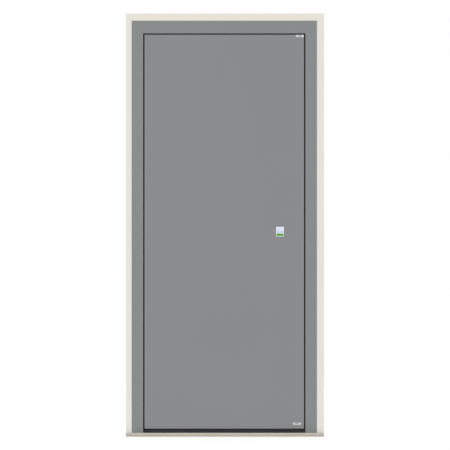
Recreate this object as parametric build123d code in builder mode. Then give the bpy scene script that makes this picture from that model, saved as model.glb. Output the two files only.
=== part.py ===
"""Wood-aluminium front door: a flush leaf that opens inwards, in a clad timber frame on a sill.

X runs along the wall, Y from the weather side to the room side, and Z is up.
The origin is on the underside of the sill, below the middle of the door,
in the plane of the frame's weather face. Lengths are in millimetres.
"""

from build123d import *

import os

# Timber outer frame, seen from the weather side
frame_width = 1000.0
frame_height = 2225.0
jamb_face = 62.0
head_face = 68.0
timber_depth = 72.0
stop_depth = 38.0
rebate_step = 16.5
timber_edge_chamfer = 1.5

# Aluminium shell over the frame's weather face
shell_depth = 18.0
shell_wall = 2.0
shell_overhang = 3.5
shell_edge_radius = 1.0

# Painted surround between the frame and the wall
surround_left_width = 31.0
surround_right_width = 38.5
surround_head_height = 38.5
surround_recess = 3.0
surround_edge_radius = 2.0

# Screw holes through the jambs and the surround into the wall
wall_screw_radius = 4.0
wall_screw_bottom_distance = 200.0
wall_screw_top_distance = 225.0
wall_screw_count = 4

# Sill and threshold
sill_height = 20.0
sill_projection = 30.0
sill_edge_radius = 4.0
threshold_height = 17.0
threshold_recess = 3.0
threshold_nose_height = 14.0
threshold_ramp = 20.0
threshold_tread_height = 6.0
threshold_edge_radius = 1.0
tread_groove_width = 2.0
tread_groove_depth = 1.0
tread_groove_pitch = 6.0
tread_groove_count = 4

# Leaf, and its clearances from the frame
leaf_gap = 7.0
leaf_bottom_gap = 5.5
flange_gap = 6.0
skin_thickness = 3.0
skin_fold_depth = 23.0
skin_edge_radius = 1.5
stile_width = 110.0
top_rail_height = 110.0
bottom_rail_height = 150.0
inner_panel_thickness = 8.0
inner_panel_edge_radius = 1.5

# Rubber seals
frame_seal_width = 8.0
frame_seal_height = 6.0
frame_seal_stem_width = 3.0
frame_seal_stem_depth = 5.0
frame_seal_radius = 2.0
seal_clearance = 5.0
leaf_seal_width = 6.0
leaf_seal_height = 3.5
leaf_seal_margin = 1.0
leaf_seal_stem_width = 3.0
leaf_seal_stem_depth = 4.0
leaf_seal_radius = 1.2

# Barrel hinges on the room side
hinge_barrel_radius = 9.0
hinge_face_clearance = 1.0
hinge_pin_radius = 4.0
hinge_running_clearance = 0.08
hinge_fixed_clearance = 0.05
hinge_end_knuckle = 30.0
hinge_middle_knuckle = 41.0
hinge_knuckle_gap = 0.5
hinge_cap_height = 4.0
hinge_plate_thickness = 3.0
hinge_plate_width = 26.0
hinge_plate_offset = 12.0
hinge_plate_corner = 4.0
hinge_bottom_distance = 250.0
hinge_top_distance = 275.0

# Lock edge: face strip on the leaf and strike plates on the frame
lock_line_depth = 40.0
face_strip_width = 20.0
face_strip_thickness = 3.0
face_strip_end_margin = 155.0
bolt_thickness = 10.0
bolt_height = 26.0
bolt_length = 32.0
bolt_clearance = 0.3
latch_bevel = 7.0
night_bolt_bottom_distance = 255.0
night_bolt_top_distance = 420.0
strike_width = 22.0
strike_thickness = 3.0
strike_end_margin = 32.0
strike_window_margin = 2.0
strike_pocket_depth = 28.0

# Room-side lever, turn knob and their roses
lever_height = 1050.0
lever_backset = 65.0
turn_knob_drop = 92.0
rose_size = 52.0
rose_thickness = 9.0
rose_corner = 6.0
rose_chamfer = 1.5
lever_neck_radius = 9.0
lever_bar_height = 20.0
lever_bar_thickness = 9.0
lever_bar_corner = 4.0
lever_reach = 58.0
lever_length = 128.0
lever_chamfer = 1.2
turn_knob_length = 34.0
turn_knob_width = 12.0
turn_knob_corner = 3.0
turn_knob_reach = 20.0
turn_knob_neck_radius = 9.0
turn_knob_neck_length = 5.0
turn_knob_chamfer = 1.5

# Weather-side access reader
reader_height = 1086.0
reader_edge_distance = 130.0
reader_width = 45.0
reader_length = 55.0
reader_depth = 9.0
reader_corner = 6.0
reader_chamfer = 1.5
reader_border = 4.0
reader_window_depth = 2.0
reader_light_height = 13.0
reader_light_depth = 3.0

# Depths, from the weather face inwards
stop_y = shell_depth + stop_depth
inside_y = shell_depth + timber_depth
flange_y = stop_y + frame_seal_height + seal_clearance
inner_panel_y = inside_y - inner_panel_thickness
rebate_middle_y = (stop_y + inside_y) / 2

# Half widths and levels, from the outside of the frame to the leaf
sill_top = sill_height
frame_half = frame_width / 2
frame_top = sill_top + frame_height
surround_left_x = -frame_half - surround_left_width
surround_right_x = frame_half + surround_right_width
surround_top = frame_top + surround_head_height
reveal_half = frame_half - jamb_face
reveal_top = frame_top - head_face
stop_half = reveal_half + shell_overhang
stop_top = reveal_top + shell_overhang
rebate_half = stop_half + rebate_step
rebate_top = stop_top + rebate_step
leaf_half = reveal_half - leaf_gap
leaf_top = reveal_top - leaf_gap
leaf_bottom = sill_top + threshold_height + leaf_bottom_gap
flange_half = rebate_half - flange_gap
flange_top = rebate_top - flange_gap
flange_bottom = sill_top + threshold_tread_height + flange_gap
frame_seal_half = (stop_half + flange_half) / 2
frame_seal_top = (stop_top + flange_top) / 2

# Hinge axis and levels, and the lock and fitting places
hinge_x = -(rebate_half + flange_half) / 2
hinge_y = inside_y + hinge_face_clearance + hinge_barrel_radius
hinge_bottom = sill_top + hinge_bottom_distance
hinge_top = frame_top - hinge_top_distance
hinge_levels = {"bottom": hinge_bottom, "middle": (hinge_bottom + hinge_top) / 2, "top": hinge_top}
lever_x = leaf_half - lever_backset
lever_z = sill_top + lever_height
turn_knob_z = lever_z - turn_knob_drop
night_bolt_levels = [leaf_bottom + night_bolt_bottom_distance, leaf_top - night_bolt_top_distance]
face_strip_middle = sum(night_bolt_levels) / 2
face_strip_length = night_bolt_levels[1] - night_bolt_levels[0] + 2 * face_strip_end_margin
bolt_levels = [lever_z, turn_knob_z, *night_bolt_levels]
strikes = {"bottom": night_bolt_levels[:1], "middle": [turn_knob_z, lever_z], "top": night_bolt_levels[1:]}
reader_x = leaf_half - reader_edge_distance
reader_z = sill_top + reader_height


def slab(left, right, bottom, top, front, back, mode=Mode.ADD):
    """A rectangle of the front elevation, between two depths."""
    with BuildSketch(Plane.XZ.offset(-front)) as outline:
        with Locations(((left + right) / 2, (bottom + top) / 2)):
            Rectangle(right - left, top - bottom)
    extrude(outline.sketch, amount=front - back, mode=mode)


def portal(outer_half, outer_top, inner_half, inner_top, front, back, foot=sill_top, mode=Mode.ADD):
    """Two posts and a head, standing at the level of the foot, between two depths."""
    upright = (Align.CENTER, Align.MIN)
    with BuildSketch(Plane.XZ.offset(-front)) as outline:
        with Locations((0, foot)):
            Rectangle(2 * outer_half, outer_top - foot, align=upright)
            Rectangle(2 * inner_half, inner_top - foot, align=upright, mode=Mode.SUBTRACT)
    extrude(outline.sketch, amount=front - back, mode=mode)


def leaf_ring(outer, inner, front, back, mode=Mode.ADD):
    """A ring that follows the leaf's outline, between two distances outside it."""
    middle = (leaf_bottom + leaf_top) / 2
    height = leaf_top - leaf_bottom
    with BuildSketch(Plane.XZ.offset(-front)) as outline:
        with Locations((0, middle)):
            Rectangle(2 * (leaf_half + outer), height + 2 * outer)
            Rectangle(2 * (leaf_half + inner), height + 2 * inner, mode=Mode.SUBTRACT)
    extrude(outline.sketch, amount=front - back, mode=mode)


def edge_strip(face_x, level, length, width, thickness, mode=Mode.ADD):
    """A flat strip, let in behind a leaf or jamb edge by its thickness."""
    with BuildSketch(Plane.YZ.offset(face_x)) as outline:
        with Locations((lock_line_depth, level)):
            Rectangle(width, length)
    extrude(outline.sketch, amount=thickness, mode=mode)


def bolt_block(face_x, level, length, margin, mode=Mode.ADD):
    """A bolt, or the pocket for one with a margin all round, from a face towards +X."""
    with BuildSketch(Plane.YZ.offset(face_x)) as outline:
        with Locations((lock_line_depth, level)):
            Rectangle(bolt_thickness + 2 * margin, bolt_height + 2 * margin)
    extrude(outline.sketch, amount=length, mode=mode)


def channel_section(plane, face):
    """The shell's section, open towards the timber: X from the outer edge, Y from the weather face."""
    with BuildSketch(plane) as section:
        Rectangle(face, shell_depth, align=Align.MIN)
        fillet(section.vertices().group_by(Axis.Y)[0], shell_edge_radius)
        with Locations((shell_wall, shell_wall)):
            Rectangle(face - 2 * shell_wall, shell_depth - shell_wall, align=Align.MIN, mode=Mode.SUBTRACT)
    return section.sketch


def strike_length(levels):
    """The length of a strike plate that reaches past its bolts by a margin."""
    return max(levels) - min(levels) + bolt_height + 2 * strike_end_margin


def wall_screw_holes():
    """The screw holes along X, through both sides of the piece being built."""
    lowest = sill_top + wall_screw_bottom_distance
    highest = frame_top - wall_screw_top_distance
    spacing = (highest - lowest) / (wall_screw_count - 1)
    middle_x = (surround_left_x + surround_right_x) / 2
    span = surround_right_x - surround_left_x
    for index in range(wall_screw_count):
        with Locations((middle_x, rebate_middle_y, lowest + index * spacing)):
            Cylinder(wall_screw_radius, span, rotation=(0, 90, 0), mode=Mode.SUBTRACT)


def write(name, piece):
    """Label a finished piece and write it as its own file."""
    piece.part.label = name
    export_step(piece.part, f"parts/{name}.step")


os.makedirs("parts", exist_ok=True)

# Sill
with BuildPart() as sill:
    slab(surround_left_x, surround_right_x, 0, sill_top, -sill_projection, inside_y)
    nose = sill.faces().sort_by(Axis.Y)[0]
    fillet(nose.edges().filter_by(Axis.X), sill_edge_radius)
write("sill", sill)

# Surround: two posts under a head
surround_posts = {
    "surround_left": (surround_left_x, -frame_half),
    "surround_right": (frame_half, surround_right_x),
}
for name, (left, right) in surround_posts.items():
    with BuildPart() as surround_post:
        slab(left, right, sill_top, frame_top, surround_recess, inside_y)
        fillet(surround_post.faces().sort_by(Axis.Y)[0].edges().filter_by(Axis.Z), surround_edge_radius)
        wall_screw_holes()
    write(name, surround_post)

with BuildPart() as surround_head:
    slab(surround_left_x, surround_right_x, frame_top, surround_top, surround_recess, inside_y)
    fillet(surround_head.faces().sort_by(Axis.Y)[0].edges().filter_by(Axis.X), surround_edge_radius)
write("surround_head", surround_head)

# Threshold profile, run between the jambs and cut round their steps at both ends
with BuildPart() as threshold:
    with BuildSketch(Plane.YZ) as profile:
        with BuildLine():
            Polyline(
                (threshold_recess, sill_top),
                (threshold_recess, sill_top + threshold_nose_height),
                (threshold_recess + threshold_ramp, sill_top + threshold_height),
                (stop_y, sill_top + threshold_height),
                (stop_y, sill_top + threshold_tread_height),
                (inside_y, sill_top + threshold_tread_height),
                (inside_y, sill_top),
                close=True,
            )
        make_face()
        fillet(profile.vertices().group_by(Axis.Y)[-1], threshold_edge_radius)
        ridge_middle = (threshold_recess + threshold_ramp + stop_y) / 2
        with Locations(
            (ridge_middle, sill_top + threshold_height),
            (rebate_middle_y, sill_top + threshold_tread_height),
        ):
            with GridLocations(tread_groove_pitch, 1, tread_groove_count, 1):
                Rectangle(tread_groove_width, 2 * tread_groove_depth, mode=Mode.SUBTRACT)
    extrude(amount=rebate_half, both=True)
    for side in (-1, 1):
        with Locations((side * (stop_half + rebate_half) / 2, 0, sill_top)):
            Box(rebate_step, 2 * stop_y, 2 * threshold_height, mode=Mode.SUBTRACT)
        with Locations((side * (reveal_half + stop_half) / 2, 0, sill_top)):
            Box(shell_overhang, 2 * shell_depth, 2 * threshold_height, mode=Mode.SUBTRACT)
write("threshold", threshold)

# Timber outer frame: stop, rebate, eased room-side edges, seal groove, wall screw holes and strike pockets
with BuildPart() as timber_frame:
    portal(frame_half, frame_top, stop_half, stop_top, shell_depth, stop_y)
    portal(frame_half, frame_top, rebate_half, rebate_top, stop_y, inside_y)
    room_face = timber_frame.faces().sort_by(Axis.Y)[-1]
    chamfer(room_face.edges().group_by(Axis.Z)[1:], timber_edge_chamfer)
    portal(
        frame_seal_half + frame_seal_stem_width / 2, frame_seal_top + frame_seal_stem_width / 2,
        frame_seal_half - frame_seal_stem_width / 2, frame_seal_top - frame_seal_stem_width / 2,
        stop_y - frame_seal_stem_depth, stop_y,
        mode=Mode.SUBTRACT,
    )
    wall_screw_holes()
    for name, levels in strikes.items():
        edge_strip(
            stop_half, sum(levels) / len(levels), strike_length(levels), strike_width, strike_thickness,
            mode=Mode.SUBTRACT,
        )
        for level in levels:
            bolt_block(stop_half, level, strike_pocket_depth, strike_window_margin, mode=Mode.SUBTRACT)

with BuildPart() as jamb_hinge_side:
    add(timber_frame.part)
    split(bisect_by=Plane.YZ.offset(-stop_half), keep=Keep.BOTTOM)
write("jamb_hinge_side", jamb_hinge_side)

with BuildPart() as jamb_lock_side:
    add(timber_frame.part)
    split(bisect_by=Plane.YZ.offset(stop_half), keep=Keep.TOP)
write("jamb_lock_side", jamb_lock_side)

with BuildPart() as frame_head:
    add(timber_frame.part)
    split(bisect_by=Plane.YZ.offset(-stop_half), keep=Keep.TOP)
    split(bisect_by=Plane.YZ.offset(stop_half), keep=Keep.BOTTOM)
write("frame_head", frame_head)

# Strike plates, let in flush with the lock-side stop
for name, levels in strikes.items():
    with BuildPart() as strike_plate:
        edge_strip(
            stop_half, sum(levels) / len(levels), strike_length(levels), strike_width, strike_thickness
        )
        for level in levels:
            bolt_block(stop_half, level, strike_thickness, strike_window_margin, mode=Mode.SUBTRACT)
    write(f"strike_plate_{name}", strike_plate)

# Aluminium shell: a channel round the frame, mitred at the two top corners
mitre_left = Plane(origin=(-frame_half, 0, frame_top), z_dir=(-head_face, 0, -jamb_face))
mitre_right = Plane(origin=(frame_half, 0, frame_top), z_dir=(head_face, 0, -jamb_face))

with BuildPart() as shell_hinge_side:
    jamb_plane = Plane(origin=(-frame_half, 0, sill_top), x_dir=(1, 0, 0), z_dir=(0, 0, 1))
    extrude(channel_section(jamb_plane, jamb_face), amount=frame_height)
    split(bisect_by=mitre_left, keep=Keep.TOP)
write("shell_hinge_side", shell_hinge_side)

with BuildPart() as shell_lock_side:
    mirror(shell_hinge_side.part, about=Plane.YZ)
write("shell_lock_side", shell_lock_side)

with BuildPart() as shell_head:
    head_plane = Plane(origin=(0, 0, frame_top), x_dir=(0, 0, -1), z_dir=(1, 0, 0))
    extrude(channel_section(head_plane, head_face), amount=frame_half, both=True)
    split(bisect_by=mitre_left, keep=Keep.BOTTOM)
    split(bisect_by=mitre_right, keep=Keep.BOTTOM)
write("shell_head", shell_head)

# Frame seal: a bulb round three sides of the rebate, with its stem in the groove
with BuildPart() as frame_seal:
    portal(
        frame_seal_half + frame_seal_width / 2, frame_seal_top + frame_seal_width / 2,
        frame_seal_half - frame_seal_width / 2, frame_seal_top - frame_seal_width / 2,
        stop_y, stop_y + frame_seal_height,
        foot=sill_top + threshold_tread_height,
    )
    bulb_face = frame_seal.faces().sort_by(Axis.Y)[-1]
    fillet(bulb_face.edges().group_by(Axis.Z)[1:], frame_seal_radius)
    portal(
        frame_seal_half + frame_seal_stem_width / 2, frame_seal_top + frame_seal_stem_width / 2,
        frame_seal_half - frame_seal_stem_width / 2, frame_seal_top - frame_seal_stem_width / 2,
        stop_y - frame_seal_stem_depth, stop_y,
        foot=sill_top + threshold_tread_height,
    )
write("frame_seal", frame_seal)

# Timber frame of the leaf: a stepped block, hollow in the middle, cut into stiles and rails
with BuildPart() as leaf_timber:
    slab(
        -leaf_half + skin_thickness, leaf_half - skin_thickness,
        leaf_bottom + skin_thickness, leaf_top - skin_thickness,
        skin_thickness, skin_fold_depth,
    )
    slab(-leaf_half, leaf_half, leaf_bottom, leaf_top, skin_fold_depth, flange_y)
    slab(-flange_half, flange_half, flange_bottom, flange_top, flange_y, inner_panel_y)
    slab(
        stile_width - leaf_half, leaf_half - stile_width,
        leaf_bottom + bottom_rail_height, leaf_top - top_rail_height,
        skin_thickness, inner_panel_y,
        mode=Mode.SUBTRACT,
    )
    leaf_ring(
        leaf_seal_margin + (leaf_seal_width + leaf_seal_stem_width) / 2,
        leaf_seal_margin + (leaf_seal_width - leaf_seal_stem_width) / 2,
        flange_y, flange_y + leaf_seal_stem_depth,
        mode=Mode.SUBTRACT,
    )
    edge_strip(
        leaf_half, face_strip_middle, face_strip_length, face_strip_width, -face_strip_thickness,
        mode=Mode.SUBTRACT,
    )
    for level in bolt_levels:
        bolt_block(leaf_half, level, -bolt_length, bolt_clearance, mode=Mode.SUBTRACT)

with BuildPart() as hinge_stile:
    add(leaf_timber.part)
    split(bisect_by=Plane.YZ.offset(stile_width - leaf_half), keep=Keep.BOTTOM)
write("hinge_stile", hinge_stile)

with BuildPart() as lock_stile:
    add(leaf_timber.part)
    split(bisect_by=Plane.YZ.offset(leaf_half - stile_width), keep=Keep.TOP)
write("lock_stile", lock_stile)

with BuildPart() as rails:
    add(leaf_timber.part)
    split(bisect_by=Plane.YZ.offset(stile_width - leaf_half), keep=Keep.TOP)
    split(bisect_by=Plane.YZ.offset(leaf_half - stile_width), keep=Keep.BOTTOM)

with BuildPart() as top_rail:
    add(rails.part)
    split(bisect_by=Plane.XY.offset((leaf_bottom + leaf_top) / 2), keep=Keep.TOP)
write("top_rail", top_rail)

with BuildPart() as bottom_rail:
    add(rails.part)
    split(bisect_by=Plane.XY.offset((leaf_bottom + leaf_top) / 2), keep=Keep.BOTTOM)
write("bottom_rail", bottom_rail)

# Aluminium outer skin: one sheet folded back on all four sides
with BuildPart() as outer_skin:
    slab(-leaf_half, leaf_half, leaf_bottom, leaf_top, 0, skin_fold_depth)
    fillet(outer_skin.faces().sort_by(Axis.Y)[0].edges(), skin_edge_radius)
    slab(
        -leaf_half + skin_thickness, leaf_half - skin_thickness,
        leaf_bottom + skin_thickness, leaf_top - skin_thickness,
        skin_thickness, skin_fold_depth,
        mode=Mode.SUBTRACT,
    )
write("outer_skin", outer_skin)

# Timber panel on the room side of the leaf
with BuildPart() as inner_panel:
    slab(-flange_half, flange_half, flange_bottom, flange_top, inner_panel_y, inside_y)
    fillet(inner_panel.faces().sort_by(Axis.Y)[-1].edges(), inner_panel_edge_radius)
write("inner_panel", inner_panel)

# Leaf seal: a ring on the leaf's flange, with its stem in the groove
with BuildPart() as leaf_seal:
    leaf_ring(leaf_seal_margin + leaf_seal_width, leaf_seal_margin, flange_y - leaf_seal_height, flange_y)
    fillet(leaf_seal.faces().sort_by(Axis.Y)[0].edges(), leaf_seal_radius)
    leaf_ring(
        leaf_seal_margin + (leaf_seal_width + leaf_seal_stem_width) / 2,
        leaf_seal_margin + (leaf_seal_width - leaf_seal_stem_width) / 2,
        flange_y, flange_y + leaf_seal_stem_depth,
    )
write("leaf_seal", leaf_seal)

# Lock face strip and its bolts, drawn back flush
with BuildPart() as lock_face_strip:
    edge_strip(leaf_half, face_strip_middle, face_strip_length, face_strip_width, -face_strip_thickness)
    for level in bolt_levels:
        bolt_block(leaf_half, level, -face_strip_thickness, bolt_clearance, mode=Mode.SUBTRACT)
write("lock_face_strip", lock_face_strip)

with BuildPart() as latch_bolt:
    bolt_block(leaf_half, lever_z, -bolt_length, 0)
    nose_edges = latch_bolt.faces().sort_by(Axis.X)[-1].edges().filter_by(Axis.Z)
    chamfer(nose_edges.sort_by(Axis.Y)[0], latch_bevel)
write("latch_bolt", latch_bolt)

with BuildPart() as dead_bolts:
    for level in bolt_levels[1:]:
        bolt_block(leaf_half, level, -bolt_length, 0)
write("dead_bolts", dead_bolts)

# Barrel hinges: two knuckles on the frame, one on the leaf, and a capped pin
hinge_length = 2 * hinge_end_knuckle + hinge_middle_knuckle + 2 * hinge_knuckle_gap
end_knuckle_shift = (hinge_length - hinge_end_knuckle) / 2
for name, hinge_z in hinge_levels.items():
    halves = {
        "frame": (-1, [-end_knuckle_shift, end_knuckle_shift], hinge_end_knuckle, hinge_fixed_clearance),
        "leaf": (1, [0], hinge_middle_knuckle, hinge_running_clearance),
    }
    for carrier, (side, shifts, knuckle, clearance) in halves.items():
        with BuildPart() as hinge_half:
            plate_edge = hinge_x + side * hinge_plate_offset
            with BuildSketch(Plane.XZ.offset(-inside_y)) as plate:
                with Locations((plate_edge + side * hinge_plate_width / 2, hinge_z)):
                    RectangleRounded(hinge_plate_width, hinge_length, hinge_plate_corner)
            extrude(amount=-hinge_plate_thickness)
            for shift in shifts:
                with BuildSketch(Plane.XY.offset(hinge_z + shift)) as knuckle_outline:
                    with Locations((hinge_x, hinge_y)):
                        Circle(hinge_barrel_radius)
                    with BuildLine():
                        Polyline(
                            (plate_edge + side * hinge_plate_corner, inside_y),
                            (plate_edge, inside_y),
                            (hinge_x, hinge_y - hinge_barrel_radius),
                            (hinge_x, hinge_y),
                            (plate_edge, inside_y + hinge_plate_thickness),
                            (plate_edge + side * hinge_plate_corner, inside_y + hinge_plate_thickness),
                            close=True,
                        )
                    make_face()
                    with Locations((hinge_x, hinge_y)):
                        Circle(hinge_pin_radius + clearance, mode=Mode.SUBTRACT)
                extrude(amount=knuckle / 2, both=True)
        write(f"hinge_{carrier}_half_{name}", hinge_half)
    with BuildPart() as hinge_pin:
        with Locations((hinge_x, hinge_y, hinge_z)):
            Cylinder(hinge_pin_radius, hinge_length)
        for side in (-1, 1):
            with Locations((hinge_x, hinge_y, hinge_z + side * (hinge_length + hinge_cap_height) / 2)):
                Cylinder(hinge_barrel_radius, hinge_cap_height)
    write(f"hinge_pin_{name}", hinge_pin)

# Room-side lever and turn knob, each on a square rose
for name, level in {"lever_rose": lever_z, "turn_knob_rose": turn_knob_z}.items():
    with BuildPart() as rose:
        with BuildSketch(Plane.XZ.offset(-inside_y)):
            with Locations((lever_x, level)):
                RectangleRounded(rose_size, rose_size, rose_corner)
        extrude(amount=-rose_thickness)
        chamfer(rose.faces().sort_by(Axis.Y)[-1].edges(), rose_chamfer)
    write(name, rose)

rose_y = inside_y + rose_thickness
lever_face_y = inside_y + lever_reach
lever_back_y = lever_face_y - lever_bar_thickness
lever_bar_length = lever_length + lever_bar_height / 2
with BuildPart() as lever_handle:
    with BuildSketch(Plane.XZ.offset(-rose_y)):
        with Locations((lever_x, lever_z)):
            Circle(lever_neck_radius)
    extrude(amount=rose_y - lever_back_y)
    with BuildSketch(Plane.XZ.offset(-lever_back_y)):
        with Locations((lever_x + lever_bar_height / 2 - lever_bar_length / 2, lever_z)):
            RectangleRounded(lever_bar_length, lever_bar_height, lever_bar_corner)
    extrude(amount=-lever_bar_thickness)
    chamfer(lever_handle.faces().sort_by(Axis.Y)[-1].edges(), lever_chamfer)
write("lever_handle", lever_handle)

turn_knob_y = rose_y + turn_knob_neck_length
with BuildPart() as turn_knob:
    with BuildSketch(Plane.XZ.offset(-rose_y)):
        with Locations((lever_x, turn_knob_z)):
            Circle(turn_knob_neck_radius)
    extrude(amount=-turn_knob_neck_length)
    with BuildSketch(Plane.XZ.offset(-turn_knob_y)) as grip:
        with Locations((lever_x, turn_knob_z)):
            Rectangle(turn_knob_width, turn_knob_length)
        chamfer(grip.vertices(), turn_knob_corner)
    extrude(amount=turn_knob_neck_length - turn_knob_reach)
    chamfer(turn_knob.faces().sort_by(Axis.Y)[-1].edges(), turn_knob_chamfer)
write("turn_knob", turn_knob)

# Weather-side access reader: a housing on the skin, with a window over a status light
window_width = reader_width - 2 * reader_border
window_bottom = reader_z - reader_length / 2 + reader_light_height + 2 * reader_border
window_top = reader_z + reader_length / 2 - reader_border
light_middle = reader_z - reader_length / 2 + reader_border + reader_light_height / 2
window_middle = (window_bottom + window_top) / 2
window_height = window_top - window_bottom
reader_face = Plane.XZ.offset(reader_depth)

with BuildPart() as reader_housing:
    with BuildSketch(Plane.XZ):
        with Locations((reader_x, reader_z)):
            RectangleRounded(reader_width, reader_length, reader_corner)
    extrude(amount=reader_depth)
    chamfer(reader_housing.faces().sort_by(Axis.Y)[0].edges(), reader_chamfer)
    with BuildSketch(reader_face):
        with Locations((reader_x, window_middle)):
            Rectangle(window_width, window_height)
    extrude(amount=-reader_window_depth, mode=Mode.SUBTRACT)
    with BuildSketch(reader_face):
        with Locations((reader_x, light_middle)):
            Rectangle(window_width, reader_light_height)
    extrude(amount=-reader_light_depth, mode=Mode.SUBTRACT)
write("reader_housing", reader_housing)

with BuildPart() as reader_window:
    with BuildSketch(reader_face):
        with Locations((reader_x, window_middle)):
            Rectangle(window_width, window_height)
    extrude(amount=-reader_window_depth)
write("reader_window", reader_window)

with BuildPart() as reader_light:
    with BuildSketch(reader_face):
        with Locations((reader_x, light_middle)):
            Rectangle(window_width, reader_light_height)
    extrude(amount=-reader_light_depth)
write("reader_light", reader_light)
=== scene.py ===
# %% [markdown]
# # A wood-aluminium front door, dressed in Blender
#
# The door arrives as a set of solid pieces with exact places: a timber frame under an aluminium shell,
# a flush leaf that swings inwards, a dark threshold, a stone sill and a painted surround. Blender adds
# what those solids cannot say by themselves: light, a camera, finishes and small trim. Everything is in
# metres. X runs along the wall, Y from the weather side to the room side, and Z is up.

# %% Load the pieces and note how large the door is
import math

import bmesh
import bpy
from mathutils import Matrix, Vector


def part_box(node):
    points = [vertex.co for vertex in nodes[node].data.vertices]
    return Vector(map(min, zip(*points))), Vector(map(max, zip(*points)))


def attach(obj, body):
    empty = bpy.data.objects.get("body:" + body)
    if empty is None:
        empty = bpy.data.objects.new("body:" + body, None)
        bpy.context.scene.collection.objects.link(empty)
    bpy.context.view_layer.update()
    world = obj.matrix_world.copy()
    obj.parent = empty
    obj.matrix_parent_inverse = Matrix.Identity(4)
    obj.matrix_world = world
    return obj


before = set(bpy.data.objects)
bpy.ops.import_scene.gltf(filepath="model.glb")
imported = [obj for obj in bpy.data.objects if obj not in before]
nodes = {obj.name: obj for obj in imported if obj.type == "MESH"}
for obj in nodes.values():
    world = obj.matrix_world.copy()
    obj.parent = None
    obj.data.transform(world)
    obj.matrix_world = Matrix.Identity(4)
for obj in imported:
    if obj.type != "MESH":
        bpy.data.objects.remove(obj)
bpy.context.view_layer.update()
scene = bpy.context.scene

# %% [markdown]
# ## Looking straight at the door
#
# The picture to match is a flat elevation, so upright lines stay upright and nothing shrinks with distance.
# An orthographic camera would do that, but a very long lens far away gives almost the same picture, and
# views from other sides keep a trace of depth. The lens is found from the width that the picture covers:
# similar triangles give lens / sensor = distance / width.

# %% Camera
PICTURE_WIDTH = 2.430
PICTURE_CENTRE_X = 0.0039
PICTURE_CENTRE_Z = 1.142
CAMERA_DISTANCE = 27.0
CAMERA_REACH = 200.0
QUARTER_TURN = math.radians(90.0)

camera_data = bpy.data.cameras.new("elevation_camera")
camera_data.lens = camera_data.sensor_width * CAMERA_DISTANCE / PICTURE_WIDTH
camera_data.clip_end = CAMERA_REACH
camera = bpy.data.objects.new("elevation_camera", camera_data)
camera.location = (PICTURE_CENTRE_X, -CAMERA_DISTANCE, PICTURE_CENTRE_Z)
camera.rotation_euler = (QUARTER_TURN, 0.0, 0.0)
scene.collection.objects.link(camera)
scene.camera = camera
scene.view_settings.view_transform = "Standard"
print("lens, mm:", round(camera_data.lens, 1))

# %% [markdown]
# ## Helpers for graphs of nodes
#
# Light, finishes and screws are all small graphs of nodes below. Adding a node, setting it up and joining it
# to the next one is always the same work, so a few helpers do it. A value that is a socket of another node
# gets linked, and a plain number or colour is typed into the socket, which is also what an export can read.


# %% Node helpers
def fill(tree, socket, value):
    """Link a socket to an input, or type a plain value into it."""
    if isinstance(value, bpy.types.NodeSocket):
        tree.links.new(value, socket)
    else:
        socket.default_value = value


def put(tree, kind, settings=None, **inputs):
    """Add a node, set its options, and fill its inputs by name, with _ for a space."""
    node = tree.nodes.new(kind)
    for option, value in (settings or {}).items():
        setattr(node, option, value)
    for name, value in inputs.items():
        fill(tree, node.inputs[name.replace("_", " ")], value)
    return node


def maths(tree, operation, first, second=0.0):
    """One sum on two values, each a socket or a number."""
    node = put(tree, "ShaderNodeMath", {"operation": operation})
    fill(tree, node.inputs[0], first)
    fill(tree, node.inputs[1], second)
    return node.outputs[0]


def split(tree, vector):
    """The X, Y and Z of a vector."""
    return put(tree, "ShaderNodeSeparateXYZ", Vector=vector).outputs


def length_of(tree, vector):
    """How long a vector is."""
    return put(tree, "ShaderNodeVectorMath", {"operation": "LENGTH"}, Vector=vector).outputs["Value"]


def scaled(tree, vector, factor):
    """A vector made longer or shorter, or a colour made lighter or darker, by a factor."""
    node = put(tree, "ShaderNodeVectorMath", {"operation": "SCALE"}, Vector=vector, Scale=factor)
    return node.outputs["Vector"]


print("node helpers ready")

# %% [markdown]
# ## A white world
#
# The background is plain white. A white world at full strength would also flood the door with light, so the
# world has two strengths: 1 for rays that see it directly, in a mirror or through glass, and less for the
# light that it sheds. Light Path tells the two kinds of ray apart.

# %% World
WHITE = (1.0, 1.0, 1.0, 1.0)
WORLD_SHEDS = 0.68
WORLD_SEEN = 1.0


def two_strengths(tree, shed, seen):
    """One strength for light that is shed, and one for rays by eye, in a reflection or through glass."""
    ray = put(tree, "ShaderNodeLightPath").outputs
    by_eye_or_mirror = maths(tree, "MAXIMUM", ray["Is Camera Ray"], ray["Is Glossy Ray"])
    directly = maths(tree, "MAXIMUM", by_eye_or_mirror, ray["Is Transmission Ray"])
    return put(tree, "ShaderNodeMapRange", Value=directly, To_Min=shed, To_Max=seen).outputs["Result"]


world = bpy.data.worlds.new("white_studio")
world.use_nodes = True
sky = world.node_tree
sky.nodes.clear()
sky_strength = two_strengths(sky, WORLD_SHEDS, WORLD_SEEN)
backdrop = put(sky, "ShaderNodeBackground", Color=WHITE, Strength=sky_strength)
put(sky, "ShaderNodeOutputWorld", Surface=backdrop.outputs["Background"])
scene.world = world
print("the world sheds", WORLD_SHEDS, "and is seen as", WORLD_SEEN)

# %% [markdown]
# ## A floor like a light table
#
# The door takes half of the sky away from the floor in front of it, so its own foot would look dull. A lamp
# near the ground would help, but it would shine in metal and show in other views. So the floor itself glows a
# little, and more close to the door, until the foot gets as much light as the rest. Rays that see the floor
# directly find a steady glow instead. With the light that the floor reflects it is as white as paper, and
# where the door holds that light back, it keeps a soft shadow.

# %% Floor
FLOOR_WHITE = 0.46
FLOOR_SHEDS_NEAR = 0.58
FLOOR_SHEDS_FAR = 0.38
NEAR_REACH = 1.3
FLOOR_SEEN = 0.69
FLOOR_REACH = 60.0


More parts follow.
